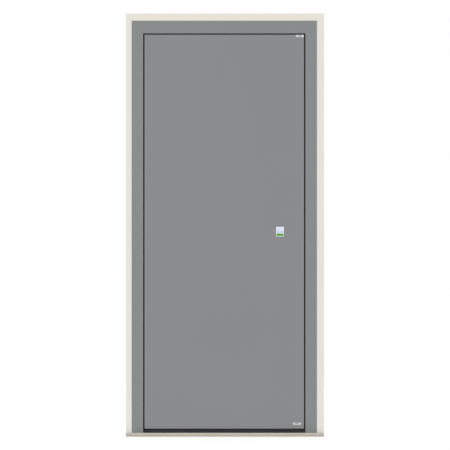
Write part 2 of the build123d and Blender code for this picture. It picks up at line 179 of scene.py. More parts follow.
def blank_finish(name):
    """A material with an empty graph, and the place of each point in metres."""
    material = bpy.data.materials.new(name)
    material.use_nodes = True
    tree = material.node_tree
    tree.nodes.clear()
    return material, tree, put(tree, "ShaderNodeTexCoord").outputs["Object"]


floor_paint, ground, place = blank_finish("studio_floor_white")
shed = put(
    ground,
    "ShaderNodeMapRange",
    {"interpolation_type": "SMOOTHSTEP"},
    Value=length_of(ground, place),
    From_Max=NEAR_REACH,
    To_Min=FLOOR_SHEDS_NEAR,
    To_Max=FLOOR_SHEDS_FAR,
)
floor_strength = two_strengths(ground, shed.outputs["Result"], FLOOR_SEEN)
glow = put(ground, "ShaderNodeEmission", Color=WHITE, Strength=floor_strength)
matt = put(ground, "ShaderNodeBsdfDiffuse", Color=(FLOOR_WHITE, FLOOR_WHITE, FLOOR_WHITE, 1.0))
lit_floor = put(ground, "ShaderNodeAddShader")
fill(ground, lit_floor.inputs[0], matt.outputs["BSDF"])
fill(ground, lit_floor.inputs[1], glow.outputs["Emission"])
put(ground, "ShaderNodeOutputMaterial", Surface=lit_floor.outputs["Shader"])

floor_mesh = bpy.data.meshes.new("studio_floor")
floor_corners = [(FLOOR_REACH * x, FLOOR_REACH * y, 0.0) for x, y in ((-1, -1), (1, -1), (1, 1), (-1, 1))]
floor_mesh.from_pydata(floor_corners, [], [(0, 1, 2, 3)])
floor_mesh.materials.append(floor_paint)
floor = bpy.data.objects.new("studio_floor", floor_mesh)
scene.collection.objects.link(floor)
print("the floor sheds", FLOOR_SHEDS_NEAR, "near the door and", FLOOR_SHEDS_FAR, "further off")

# %% [markdown]
# ## Two wide lamps
#
# An even picture of a tall flat thing wants a wide lamp a good way off: then the top and the bottom of the
# leaf are nearly as far from it as the middle is. One lamp stands outside, a little to the left, so that
# right-hand edges fall into shade. Its twin lights the room side, for anyone who walks round the door.

# %% Lamps
LAMP_POWER = 205.0
LAMP_WIDTH = 12.0
LAMP_HEIGHT = 3.0
LAMP_PLACE = Vector((-1.6, -8.0, 1.5))
TWIN_PLACE = Vector((-LAMP_PLACE.x, -LAMP_PLACE.y, LAMP_PLACE.z))
LAMP_TARGET = Vector((0.0, 0.0, 1.2))


def wide_lamp(name, place):
    """An area lamp, wider than high, that faces the middle of the door."""
    lamp_data = bpy.data.lights.new(name, "AREA")
    lamp_data.shape = "RECTANGLE"
    lamp_data.size = LAMP_WIDTH
    lamp_data.size_y = LAMP_HEIGHT
    lamp_data.energy = LAMP_POWER
    lamp = bpy.data.objects.new(name, lamp_data)
    lamp.location = place
    lamp.rotation_euler = (LAMP_TARGET - place).to_track_quat("-Z", "Y").to_euler()
    scene.collection.objects.link(lamp)


wide_lamp("weather_side_lamp", LAMP_PLACE)
wide_lamp("room_side_lamp", TWIN_PLACE)

# %% [markdown]
# ## Helpers for finishes
#
# A finish starts as an empty graph plus the place of each point on the door. Real surfaces are never one flat
# colour, so nearly all of them mix the same few things: noise of a stated size, a blend between two colours,
# a range of gloss, and a bump that tilts the light without changing the outline.


# %% Finish helpers
def coat_with(tree, **inputs):
    """The surface shader with its inputs filled, joined to the material's output."""
    shader = put(tree, "ShaderNodeBsdfPrincipled", **inputs)
    put(tree, "ShaderNodeOutputMaterial", Surface=shader.outputs["BSDF"])


def noise(tree, place, scale, detail=2.0, roughness=0.5):
    """Soft noise with about this many blobs to the metre."""
    texture = put(
        tree,
        "ShaderNodeTexNoise",
        Vector=place,
        Scale=scale,
        Detail=detail,
        Roughness=roughness,
    )
    return texture.outputs["Fac"]


def ranged(tree, value, low, high, start=0.0, end=1.0):
    """A value that runs from start to end, spread over low to high instead."""
    spread = put(
        tree,
        "ShaderNodeMapRange",
        Value=value,
        From_Min=start,
        From_Max=end,
        To_Min=low,
        To_Max=high,
    )
    return spread.outputs["Result"]


def blended(tree, value, first, second, start=0.3, end=0.7):
    """A colour that goes from the first to the second as the value goes from start to end."""
    ramp = put(tree, "ShaderNodeValToRGB", Fac=value)
    for element, position, colour in zip(ramp.color_ramp.elements, (start, end), (first, second)):
        element.position = position
        element.color = (*colour, 1.0)
    return ramp.outputs["Color"]


def tinted(colour, factor):
    """A plain colour made lighter or darker by a factor."""
    return tuple(channel * factor for channel in colour)


def stretched(tree, place, scale):
    """The place of each point, squeezed or stretched along each axis."""
    return put(tree, "ShaderNodeMapping", Vector=place, Scale=scale).outputs["Vector"]


def raised(tree, height, strength, depth):
    """A bump of at most this depth in metres."""
    return put(tree, "ShaderNodeBump", Height=height, Strength=strength, Distance=depth).outputs["Normal"]


print("finish helpers ready")

# %% [markdown]
# ## Grey powder coat
#
# The aluminium is sprayed with dry powder and baked. Close up, the coat has a fine leathery pimple of less
# than a millimetre, and it is satin, not glossy. A flat grey would look like plastic, so two noises do the
# work: a very fine one tilts the surface a little, and a broad one shifts the grey by a percent, as uneven
# spraying does.

# %% Powder coat
COAT_GREY = (0.2375, 0.2410, 0.2495)
SPRAY_CLOUDS = 2.6
PIMPLES = 1100.0
PIMPLE_DEPTH = 0.00012

grey_coat, tree, place = blank_finish("grey_powder_coat")
spray = noise(tree, place, SPRAY_CLOUDS, detail=3.0)
pimples = noise(tree, place, PIMPLES)
coat_with(
    tree,
    Base_Color=blended(tree, spray, tinted(COAT_GREY, 0.988), tinted(COAT_GREY, 1.012)),
    Roughness=ranged(tree, pimples, 0.46, 0.60),
    Specular_IOR_Level=0.4,
    Normal=raised(tree, pimples, strength=0.35, depth=PIMPLE_DEPTH),
)
print("finish:", grey_coat.name)

# %% [markdown]
# ## Cream paint and sealant
#
# The boards between frame and wall are rolled with satin paint. A roller leaves a soft orange-peel skin a few
# millimetres across, so the bump here is broader and gentler than on the powder coat. The sealant in the
# joint is the same cream but rubbery, so it shares the colour and gets a smoother, softer sheen.

# %% Cream paint
CREAM = (0.828, 0.788, 0.702)
ROLLER_CLOUDS = 4.0
PEEL = 420.0
PEEL_DEPTH = 0.0002
RIPPLES = 90.0
RIPPLE_DEPTH = 0.0004

cream_paint, tree, place = blank_finish("cream_roller_paint")
cloud = noise(tree, place, ROLLER_CLOUDS, detail=4.0)
peel = noise(tree, place, PEEL)
coat_with(
    tree,
    Base_Color=blended(tree, cloud, tinted(CREAM, 0.985), tinted(CREAM, 1.010)),
    Roughness=ranged(tree, cloud, 0.40, 0.52),
    Normal=raised(tree, peel, strength=0.25, depth=PEEL_DEPTH),
)

cream_sealant, tree, place = blank_finish("cream_joint_sealant")
ripple = noise(tree, place, RIPPLES, detail=3.0)
coat_with(
    tree,
    Base_Color=blended(tree, ripple, tinted(CREAM, 0.93), tinted(CREAM, 0.99)),
    Roughness=ranged(tree, ripple, 0.34, 0.48),
    Normal=raised(tree, ripple, strength=0.3, depth=RIPPLE_DEPTH),
)
print("finishes:", cream_paint.name, cream_sealant.name)

# %% [markdown]
# ## Honed stone sill
#
# The sill is buff stone, ground flat but not polished. Its colour comes from broad clouds and from specks of
# a few millimetres, and tiny pores roughen it. The top edge of the front is painted paler than its foot, a
# painted highlight where light falls on the rounded edge, so the colour climbs a little with height.

# %% Stone
STONE = (0.477, 0.444, 0.378)
# painted highlight: a paler stone colour for the top edge of the sill's front
STONE_PAINTED_HIGHLIGHT = (0.614, 0.586, 0.530)
HIGHLIGHT_FROM_HEIGHT = 0.010
HIGHLIGHT_TO_HEIGHT = 0.019
STONE_SPECKS = 260.0
STONE_CLOUDS = 14.0
PORES = 700.0
PORE_DEPTH = 0.0003

stone, tree, place = blank_finish("buff_sill_stone")
# painted highlight: between these two heights the stone turns paler towards the top edge
painted_highlight = ranged(tree, split(tree, place)["Z"], 0.0, 1.0, HIGHLIGHT_FROM_HEIGHT, HIGHLIGHT_TO_HEIGHT)
cells = put(tree, "ShaderNodeTexVoronoi", Vector=place, Scale=STONE_SPECKS).outputs["Color"]
speck = put(tree, "ShaderNodeSeparateColor", Color=cells).outputs["Red"]
cloud = noise(tree, place, STONE_CLOUDS, detail=4.0)
mottle = maths(tree, "MULTIPLY", ranged(tree, speck, 0.94, 1.06), ranged(tree, cloud, 0.975, 1.025))
pores = noise(tree, place, PORES, detail=3.0, roughness=0.6)
coat_with(
    tree,
    Base_Color=scaled(tree, blended(tree, painted_highlight, STONE, STONE_PAINTED_HIGHLIGHT, start=0.0, end=1.0), mottle),
    Roughness=0.72,
    Specular_IOR_Level=0.3,
    Normal=raised(tree, pores, strength=0.4, depth=PORE_DEPTH),
)
print("finish:", stone.name)

# %% [markdown]
# ## Near-black threshold and black seals
#
# The threshold is an extruded bar with a dark anodised skin. Pulling metal through a die leaves fine lines
# along its length, so its noise is stretched along the bar. The seals are soft rubber with a dusty, matt
# skin: a faint pale noise over the black. The strip under the leaf is painted paler than the seals, painted
# light that lifts the shade in the slot under the leaf, and its dusty tone is partly dust.

# %% Dark extrusion
DARK_SKIN = (0.0273, 0.0278, 0.0278)
DIE_LINES = 900.0
DIE_LINE_DEPTH = 0.0001
LINES_LEVEL = (0.02, 1.0, 1.0)

dark_bar, tree, place = blank_finish("dark_anodised_bar")
die_lines = noise(tree, stretched(tree, place, LINES_LEVEL), DIE_LINES, detail=3.0)
coat_with(
    tree,
    Base_Color=blended(tree, die_lines, tinted(DARK_SKIN, 0.88), tinted(DARK_SKIN, 1.15)),
    Roughness=ranged(tree, die_lines, 0.42, 0.56),
    Specular_IOR_Level=0.16,
    Normal=raised(tree, die_lines, strength=0.2, depth=DIE_LINE_DEPTH),
)
print("finish:", dark_bar.name)

# %% Rubber
RUBBER = (0.020, 0.020, 0.021)
RUBBER_DUSTY = (0.045, 0.045, 0.044)
# painted light: the lip strip's rubber is paler than the seals, to lift the shade in the slot under the leaf
LIP_RUBBER_PAINTED_LIGHT = (0.050, 0.050, 0.050)
LIP_DUST_AND_PAINTED_LIGHT = (0.078, 0.078, 0.077)
DUST = 60.0
RUBBER_GRAIN = 1500.0
RUBBER_GRAIN_DEPTH = 0.0001


def rubber(name, clean, dusty):
    """Matt rubber, between a clean tone and a dusty one."""
    material, tree, place = blank_finish(name)
    dust = noise(tree, place, DUST, detail=4.0, roughness=0.6)
    coat_with(
        tree,
        Base_Color=blended(tree, dust, clean, dusty, start=0.35, end=0.8),
        Roughness=0.78,
        Specular_IOR_Level=0.25,
        Normal=raised(tree, noise(tree, place, RUBBER_GRAIN), strength=0.3, depth=RUBBER_GRAIN_DEPTH),
    )
    return material


seal_rubber = rubber("seal_rubber_black", RUBBER, RUBBER_DUSTY)
# painted light: the lip strip takes the paler rubber, lifting the shade under the leaf
lip_rubber = rubber("lip_rubber_painted_light", LIP_RUBBER_PAINTED_LIGHT, LIP_DUST_AND_PAINTED_LIGHT)
print("finishes:", seal_rubber.name, lip_rubber.name)

# %% [markdown]
# ## Lacquered timber, cut from a log
#
# On the room side the door is wood. Stripes painted on the face would not meet at the edges of a board, so
# this finish is a whole log: rings round a pith that lies somewhere behind the face. A point's distance from
# the pith says which ring it is in. Because a log tapers and grows a little crooked, the pith slopes away
# from the face, and that alone turns straight rings into the pointed arches of sawn boards. Each board gets
# its own pith and its own tone by chance. Late wood is the dark, narrow end of a ring, so the ring's share is
# raised to a power. Fine fibres run along the grain and catch the lacquer.

# %% Boards and their grain
BOARDS_APART = 40.0


def cut_boards(tree, across, board_width):
    """Each board's own chance, as one number and as three shares, and the way in from its edge."""
    strip = maths(tree, "DIVIDE", across, board_width)
    own = put(tree, "ShaderNodeTexWhiteNoise", {"noise_dimensions": "1D"}, W=maths(tree, "FLOOR", strip))
    shares = put(tree, "ShaderNodeSeparateColor", Color=own.outputs["Color"]).outputs
    from_edge = maths(tree, "MULTIPLY", maths(tree, "FRACT", strip), board_width)
    return own.outputs["Value"], shares, from_edge


def grained(tree, place, along, own, sizes):
    """Noise with its own blobs to the metre across and along the grain, different on every board."""
    across_scale, along_scale = sizes
    texture = put(
        tree,
        "ShaderNodeTexNoise",
        {"noise_dimensions": "4D"},
        Vector=stretched(tree, place, [along_scale if axis == along else across_scale for axis in "XYZ"]),
        W=maths(tree, "MULTIPLY", own, BOARDS_APART),
        Scale=1.0,
        Detail=3.0,
    )
    return texture.outputs["Fac"]


print("board helpers ready")

# %% Rings round the pith
RING_WIDTH = 0.0044
PITH_SLOPE = 0.016
PITH_NEAR = 0.035
PITH_FAR = 0.085
PITH_LEFT = 0.25
PITH_RIGHT = 0.75
BENDS = (9.0, 1.1)
CROOKED = 0.007


def rings(tree, place, along, board_width):
    """How many rings lie between a point and its pith, and what its board says by chance."""
    axes = split(tree, place)
    own, shares, from_edge = cut_boards(tree, axes["X" if along == "Z" else "Z"], board_width)
    pith_across = ranged(tree, shares["Red"], PITH_LEFT * board_width, PITH_RIGHT * board_width)
    slope = maths(tree, "MULTIPLY", axes[along], PITH_SLOPE)
    behind = maths(tree, "ADD", ranged(tree, shares["Green"], PITH_NEAR, PITH_FAR), slope)
    spoke = put(
        tree,
        "ShaderNodeCombineXYZ",
        X=maths(tree, "SUBTRACT", from_edge, pith_across),
        Y=maths(tree, "ADD", axes["Y"], behind),
    )
    bend = ranged(tree, grained(tree, place, along, own, BENDS), -CROOKED, CROOKED)
    radius = maths(tree, "ADD", length_of(tree, spoke.outputs["Vector"]), bend)
    return maths(tree, "DIVIDE", radius, RING_WIDTH), own, shares["Blue"], from_edge


print("ring width, mm:", 1000 * RING_WIDTH)

# %% Timber
WOOD_EARLY = (0.500, 0.330, 0.180)
WOOD_LATE = (0.330, 0.190, 0.090)
LATE_POWER = 2.5
YEARS = 0.35
POOR_YEAR = 0.25
GOOD_YEAR = 1.0
FIBRES = (900.0, 18.0)
FIBRE_TINT = 0.45
FIBRE_DEPTH = 0.0002
STREAKS = (170.0, 3.0)
STREAK_TINT = 0.30
WOOD_CLOUDS = (3.0, 0.7)
SEAM_WIDTH = 0.0006
SEAM_SHADE = 0.72
PANEL_BOARDS = 6
ONE_BOARD = 2.0


def timber(name, along, board_width):
    """Clear-lacquered wood with its grain along X or Z, in boards of one width."""
    material, tree, place = blank_finish(name)
    ring, own, board_tone, from_edge = rings(tree, place, along, board_width)
    late = maths(tree, "POWER", maths(tree, "FRACT", ring), LATE_POWER)
    years = put(tree, "ShaderNodeTexNoise", {"noise_dimensions": "1D"}, W=ring, Scale=YEARS, Detail=2.0)
    this_year = ranged(tree, years.outputs["Fac"], POOR_YEAR, GOOD_YEAR, start=0.3, end=0.7)
    fibres = grained(tree, place, along, own, FIBRES)
    streaks = grained(tree, place, along, own, STREAKS)
    streak_tint = ranged(tree, streaks, -STREAK_TINT, STREAK_TINT)
    lines = maths(tree, "ADD", streak_tint, ranged(tree, fibres, -FIBRE_TINT, FIBRE_TINT))
    dark = maths(tree, "ADD", maths(tree, "MULTIPLY", late, this_year), lines)
    clouds = grained(tree, place, along, own, WOOD_CLOUDS)
    tone = maths(tree, "MULTIPLY", ranged(tree, board_tone, 0.90, 1.06), ranged(tree, clouds, 0.90, 1.10))
    off_seam = maths(tree, "GREATER_THAN", from_edge, SEAM_WIDTH)
    tone = maths(tree, "MULTIPLY", tone, ranged(tree, off_seam, SEAM_SHADE, 1.0))
    coat_with(
        tree,
        Base_Color=scaled(tree, blended(tree, dark, WOOD_EARLY, WOOD_LATE, start=0.0, end=0.9), tone),
        Roughness=ranged(tree, fibres, 0.50, 0.36),
        Normal=raised(tree, fibres, strength=0.2, depth=FIBRE_DEPTH),
        Coat_Weight=0.15,
        Coat_Roughness=0.25,
    )
    return material


panel_low, panel_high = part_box("inner_panel")
panel_board = (panel_high.x - panel_low.x) / PANEL_BOARDS
panel_timber = timber("lacquered_timber_panel", "Z", panel_board)
upright_timber = timber("lacquered_timber_upright", "Z", ONE_BOARD)
level_timber = timber("lacquered_timber_level", "X", ONE_BOARD)
print("panel boards, mm:", round(1000 * panel_board, 1))

# %% [markdown]
# ## Brushed steel and aluminium
#
# Hinges, strikes and the room-side lever are stainless steel, ground with a belt. The belt leaves hairlines
# in one direction. On plates and the lock strip they run upright, and on the lever they run along its bar.
# The two small plates on the weather side are paler aluminium, and their sunk field is painted darker as
# painted shade in the hollow. The finish tells rim from field by how far a point stands out from the leaf, so
# the plate's heights are named here already.

# %% Steel
STEEL = (0.400, 0.396, 0.388)
HAIRLINES = 2600.0
HAIRLINE_DEPTH = 0.00005
LINES_UPRIGHT = (1.0, 1.0, 0.02)


def brushed_steel(name, hairline_scale):
    """Stainless steel with hairlines along the axis whose scale is small."""
    material, tree, place = blank_finish(name)
    hairlines = noise(tree, stretched(tree, place, hairline_scale), HAIRLINES, detail=3.0, roughness=0.6)
    coat_with(
        tree,
        Base_Color=blended(tree, hairlines, tinted(STEEL, 0.84), tinted(STEEL, 1.14)),
        Metallic=1.0,
        Roughness=ranged(tree, hairlines, 0.26, 0.42),
        Normal=raised(tree, hairlines, strength=0.15, depth=HAIRLINE_DEPTH),
    )
    return material


plate_steel = brushed_steel("plate_steel_upright", LINES_UPRIGHT)
lever_steel = brushed_steel("lever_steel_level", LINES_LEVEL)
print("finishes:", plate_steel.name, lever_steel.name)

# %% Plate aluminium
PLATE_RIM = (0.630, 0.630, 0.635)
# painted shade: the colour of the sunk field, darker than the rim as shade in a hollow would make it
PLATE_FIELD_PAINTED_SHADE = (0.245, 0.246, 0.250)
PLATE_HEIGHT = 0.0012
PLATE_SUNK = 0.0006
SATIN_LINES = 1800.0

plate_aluminium, tree, place = blank_finish("plate_aluminium_satin")
on_rim = ranged(tree, split(tree, place)["Y"], 1.0, 0.0, -PLATE_HEIGHT, -PLATE_SUNK)
satin = noise(tree, stretched(tree, place, LINES_LEVEL), SATIN_LINES, detail=3.0)
# painted shade: points sunk into the plate take the darker colour
rim_or_painted_shade = blended(tree, on_rim, PLATE_FIELD_PAINTED_SHADE, PLATE_RIM, start=0.1, end=0.9)
coat_with(
    tree,
    Base_Color=scaled(tree, rim_or_painted_shade, ranged(tree, satin, 0.92, 1.08)),
    Roughness=ranged(tree, satin, 0.38, 0.54),
    Normal=raised(tree, satin, strength=0.15, depth=HAIRLINE_DEPTH),
    Metallic=0.2,
)
print("finish:", plate_aluminium.name)

# %% [markdown]
# ## Plastics of the access reader
#
# The small reader has a pale moulded case, a glossy pale blue window and a green status light. Moulded
# plastic has a spark-eroded grain, the window is smooth with a clear coat and fades upwards, and the light
# glows slightly from within.

# %% Reader finishes
CASE_DULL = (0.68, 0.71, 0.75)
CASE_BRIGHT = (0.74, 0.77, 0.81)
SPARK_GRAIN = 2200.0
SPARK_DEPTH = 0.00006
WINDOW_DEEP = (0.47, 0.60, 0.82)
WINDOW_PALE = (0.76, 0.80, 0.88)
LIGHT_DEEP = (0.052, 0.300, 0.020)
LIGHT_BRIGHT = (0.080, 0.365, 0.034)
LIGHT_CLOUDS = 160.0

reader_case, tree, place = blank_finish("reader_case_pale")
spark = noise(tree, place, SPARK_GRAIN)
coat_with(
    tree,
    Base_Color=blended(tree, spark, CASE_DULL, CASE_BRIGHT),
    Roughness=0.45,
    Normal=raised(tree, spark, strength=0.25, depth=SPARK_DEPTH),
)

reader_window, tree, place = blank_finish("reader_window_blue")
window_low, window_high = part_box("reader_window")
fade = ranged(tree, split(tree, place)["Z"], 0.0, 1.0, window_low.z, window_high.z)
coat_with(
    tree,
    Base_Color=blended(tree, fade, WINDOW_DEEP, WINDOW_PALE, start=0.0, end=1.0),
    Roughness=0.14,
    Specular_IOR_Level=0.4,
    Coat_Weight=0.2,
    Coat_Roughness=0.05,
)

reader_light, tree, place = blank_finish("reader_light_green")
coat_with(
    tree,
    Base_Color=blended(tree, noise(tree, place, LIGHT_CLOUDS), LIGHT_DEEP, LIGHT_BRIGHT),
    Roughness=0.35,
    Specular_IOR_Level=0.2,
    Emission_Color=(*LIGHT_BRIGHT, 1.0),
    Emission_Strength=0.1,
)
print("finishes:", reader_case.name, reader_window.name, reader_light.name)

# %% [markdown]
# ## Dressing the solid pieces
#
# Each solid keeps its shape and place and only gets a finish. The list below goes by what a piece is made of,
# so a joiner could read it as a parts list. What is not on it is hardware, and gets plate steel.

# %% Put the finishes on
DRESS = [
    (grey_coat, ["outer_skin", "shell_hinge_side", "shell_lock_side", "shell_head"]),
    (cream_paint, ["surround_left", "surround_right", "surround_head"]),
    (stone, ["sill"]),
    (dark_bar, ["threshold"]),
    (seal_rubber, ["frame_seal", "leaf_seal"]),
    (panel_timber, ["inner_panel"]),
    (upright_timber, ["jamb_hinge_side", "jamb_lock_side", "hinge_stile", "lock_stile"]),
    (level_timber, ["frame_head", "top_rail", "bottom_rail"]),
    (lever_steel, ["lever_handle"]),
    (reader_case, ["reader_housing"]),
    (reader_window, ["reader_window"]),
    (reader_light, ["reader_light"]),
]
finish_of = {name: finish for finish, names in DRESS for name in names}
for name, node in nodes.items():
    node.data.materials.clear()
    node.data.materials.append(finish_of.get(name, plate_steel))
print("dressed:", len(finish_of), "and in plate steel:", len(nodes) - len(finish_of))

# %% [markdown]
# ## Helpers for new pieces
#
# Trim is built point by point in a bmesh, straight at its place on the door. Before it becomes a piece,
# double points are merged and all faces are turned outwards. Smooth shading with sharp edges over a stated
# angle keeps round things round and corners crisp. Last, the piece is told which body of the door carries it.

# %% Piece helpers
CREASE = math.radians(35.0)
MERGE_WITHIN = 1e-6


def hang_on(piece, body):
    """Shade a piece smooth with sharp creases, and let it move with a body of the door."""
    piece.data.shade_smooth()
    piece.data.set_sharp_from_angle(angle=CREASE)
    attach(piece, body)
    print(piece.name, "faces:", len(piece.data.polygons), "on", body)


def new_piece(name, shape, finish, body):
    """Close a bmesh, turn its faces outwards, and make it a piece of the door."""
    bmesh.ops.remove_doubles(shape, verts=shape.verts, dist=MERGE_WITHIN)
    bmesh.ops.recalc_face_normals(shape, faces=shape.faces)
    mesh = bpy.data.meshes.new(name)
    shape.to_mesh(mesh)
    shape.free()
    mesh.materials.append(finish)
    piece = bpy.data.objects.new(name, mesh)
    scene.collection.objects.link(piece)
    hang_on(piece, body)


def join_rows(shape, rows, closed=False):
    """Bridge rows of points with faces, each row to the next and, if closed, the last to the first."""
    following = rows[1:] + rows[:1] if closed else rows[1:]
    for here, there in zip(rows, following):
        for step in range(len(here)):
            after = (step + 1) % len(here)
            shape.faces.new((here[step], here[after], there[after], there[step]))


print("piece helpers ready")

# %% [markdown]
# ## Two small plates on the weather side
#
# At the right edge of the leaf sit two bare plates the size of a thumb, one at the top and one at the bottom.
# Each is a pressing: a rounded outline, a raised rim and a sunk oval field that sits high in the plate. It
# could be cut with booleans, but a stack of outlines with equally many points, each at its own height, is
# cleaner: five rows of points, bridged with faces, and a flat face at each end.

# %% Outlines for the plates
CORNER_STEPS = 6
OUTLINE_POINTS = 4 * (CORNER_STEPS + 1)


def rounded_outline(width, height, radius):
    """Points round a rectangle with round corners, anticlockwise."""
    outline = []
    for quarter, (side, end) in enumerate(((1, 1), (-1, 1), (-1, -1), (1, -1))):
        for step in range(CORNER_STEPS + 1):
            angle = QUARTER_TURN * (quarter + step / CORNER_STEPS)
            x = side * (width / 2 - radius) + radius * math.cos(angle)
            z = end * (height / 2 - radius) + radius * math.sin(angle)
            outline.append((x, z))
    return outline


def oval_outline(width, height, lift):
    """As many points round an oval that is lifted a little."""
    angles = [math.tau * (step + 0.5) / OUTLINE_POINTS for step in range(OUTLINE_POINTS)]
    return [(width / 2 * math.cos(angle), lift + height / 2 * math.sin(angle)) for angle in angles]


print("points in an outline:", OUTLINE_POINTS)

# %% Corner plates
PLATE_WIDTH = 0.0435
PLATE_TALL = 0.0118
PLATE_CORNER = 0.0030
PLATE_CHAMFER = 0.0004
PLATE_SEAT = 0.0002
FIELD_WIDTH = 0.0220
FIELD_TALL = 0.0054
FIELD_LIFT = 0.0010
TOP_PLATE_IN = 0.02325
TOP_PLATE_DOWN = 0.0071
BOTTOM_PLATE_IN = 0.0385
BOTTOM_PLATE_UP = 0.0266

skin_low, skin_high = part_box("outer_skin")


def corner_plate(name, middle_x, middle_z):
    """A pressed plate with a raised rim on the face of the leaf."""
    slope = 2 * PLATE_CHAMFER
    rim = rounded_outline(PLATE_WIDTH, PLATE_TALL, PLATE_CORNER)
    layers = [
        (rim, -PLATE_SEAT),
        (rim, PLATE_HEIGHT - PLATE_CHAMFER),
        (rounded_outline(PLATE_WIDTH - slope, PLATE_TALL - slope, PLATE_CORNER), PLATE_HEIGHT),
        (oval_outline(FIELD_WIDTH + slope, FIELD_TALL + slope, FIELD_LIFT), PLATE_HEIGHT),
        (oval_outline(FIELD_WIDTH, FIELD_TALL, FIELD_LIFT), PLATE_SUNK),
    ]
    shape = bmesh.new()
    rows = []
    for outline, proud in layers:
        rows.append([shape.verts.new((middle_x + x, skin_low.y - proud, middle_z + z)) for x, z in outline])
    join_rows(shape, rows)
    shape.faces.new(rows[0])
    shape.faces.new(rows[-1])
    new_piece(name, shape, plate_aluminium, "leaf")


corner_plate("corner_plate_top", skin_high.x - TOP_PLATE_IN, skin_high.z - TOP_PLATE_DOWN)
corner_plate("corner_plate_bottom", skin_high.x - BOTTOM_PLATE_IN, skin_low.z + BOTTOM_PLATE_UP)

# %% [markdown]
# ## Turned collars and hinge caps
#
# Where the lever and the turn knob meet their roses there is a thin turned collar, and every hinge pin ends
# in a small dome. Turned things are a profile spun round an axis. Blender's Screw modifier can do that, but a
# few lines with sine and cosine put the result straight at its place, with the profile in plain view.

# %% Turned collars
TURN_STEPS = 40
COLLAR_RING = [
    (0.0091, 0.0),
    (0.0125, 0.0),
    (0.0125, 0.0014),
    (0.0113, 0.0025),
    (0.0096, 0.0025),
    (0.0091, 0.0020),
]
ROOMWARDS = Vector((0, 1, 0))


def spin(shape, centre, axis, profile, closed):
    """Spin (radius, height) points round an axis; a closed profile makes a ring."""
    turn = axis.to_track_quat("Z", "Y")
    rows = []
    for radius, height in profile:
        row = []
        for step in range(TURN_STEPS):
            angle = math.tau * step / TURN_STEPS
            spoke = Vector((radius * math.cos(angle), radius * math.sin(angle), height))
            row.append(shape.verts.new(centre + turn @ spoke))
        rows.append(row)
    join_rows(shape, rows, closed)


def middle_of(node):
    """The middle of a solid piece's box."""
    low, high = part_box(node)
    return (low + high) / 2


for name, rose in (("lever_collar", "lever_rose"), ("turn_knob_collar", "turn_knob_rose")):
    seat = middle_of(rose)
    seat.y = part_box(rose)[1].y
    shape = bmesh.new()
    spin(shape, seat, ROOMWARDS, COLLAR_RING, True)
    new_piece(name, shape, plate_steel, "leaf")

# %% Hinge caps
CAP_HEIGHT = 0.0045
CAP_STEPS = 7
LEVELS = ("bottom", "middle", "top")
UPWARDS = Vector((0, 0, 1))

shape = bmesh.new()
for level in LEVELS:
    low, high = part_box("hinge_pin_" + level)
    cap_radius = (high.x - low.x) / 2
    profile = [(0.0, 0.0), (cap_radius, 0.0)]
    for step in range(1, CAP_STEPS + 1):
        angle = QUARTER_TURN * step / CAP_STEPS
        profile.append((cap_radius * math.cos(angle), CAP_HEIGHT * math.sin(angle)))
    pin = middle_of("hinge_pin_" + level)
    spin(shape, Vector((pin.x, pin.y, low.z)), -UPWARDS, profile, False)
    spin(shape, Vector((pin.x, pin.y, high.z)), UPWARDS, profile, False)
new_piece("hinge_caps", shape, plate_steel, "frame")

# %% [markdown]
# ## Helpers for Geometry Nodes
#
# Screws repeat and the sealant follows a path, so both are left to Geometry Nodes: a small mesh says where,
# and a tree of nodes grows the shape there. The same steps are needed each time: open a tree with named
# inputs, end it, and run it through a modifier. What it made is then kept as a plain mesh, because an export
# wants triangles and not a recipe. A cut leaves a slot with no finish in front, which is dropped.


# %% Open and end a tree
def new_tree(name, inputs, result):
    """An empty Geometry Nodes tree with named inputs, and the sockets that hand those inputs in."""
    tree = bpy.data.node_groups.new(name, "GeometryNodeTree")
    for label, kind in inputs:
        tree.interface.new_socket(label, in_out="INPUT", socket_type="NodeSocket" + kind)
    tree.interface.new_socket(result, in_out="OUTPUT", socket_type="NodeSocketGeometry")
    return tree, put(tree, "NodeGroupInput").outputs


def facing_in(tree):
    """The direction called facing that each point brings along."""
    reader = put(tree, "GeometryNodeInputNamedAttribute", {"data_type": "FLOAT_VECTOR"}, Name="facing")
    return reader.outputs["Attribute"]


def end_tree(tree, geometry, finish):
    """Make copies real, set the finish and hand the result out."""
    real = put(tree, "GeometryNodeRealizeInstances", Geometry=geometry).outputs["Geometry"]
    dressed = put(tree, "GeometryNodeSetMaterial", Geometry=real, Material=finish).outputs["Geometry"]
    fill(tree, put(tree, "NodeGroupOutput").inputs[0], dressed)
    print(tree.name, "nodes:", len(tree.nodes))


print("trees can be opened and ended")


# %% Run a tree
def seed_points(name, spots, directions, edges=()):
    """A mesh of points, loose or joined by edges, with a direction called facing on each point."""
    seeds = bpy.data.meshes.new(name)
    seeds.from_pydata(spots, edges, [])
    facing = seeds.attributes.new("facing", "FLOAT_VECTOR", "POINT")
    for entry, direction in zip(facing.data, directions):
        entry.vector = direction
    return seeds


def grow(name, seeds, tree, settings):
    """Run a tree on a mesh of points, with settings for its inputs, and keep the result as a plain mesh."""
    piece = bpy.data.objects.new(name, seeds)
    scene.collection.objects.link(piece)
    maker = piece.modifiers.new(name, "NODES")
    maker.node_group = tree
    for socket in tree.interface.items_tree:
        if socket.name in settings:
            maker[socket.identifier] = settings[socket.name]
    ready = bpy.context.evaluated_depsgraph_get()
    mesh = bpy.data.meshes.new_from_object(piece.evaluated_get(ready), depsgraph=ready)
    for empty in [slot for slot, finish in enumerate(mesh.materials) if finish is None]:
        mesh.materials.pop(index=empty)
    piece.modifiers.clear()
    piece.data = mesh
    mesh.name = name
    bpy.data.meshes.remove(seeds)
    return piece


print("trees can be run")

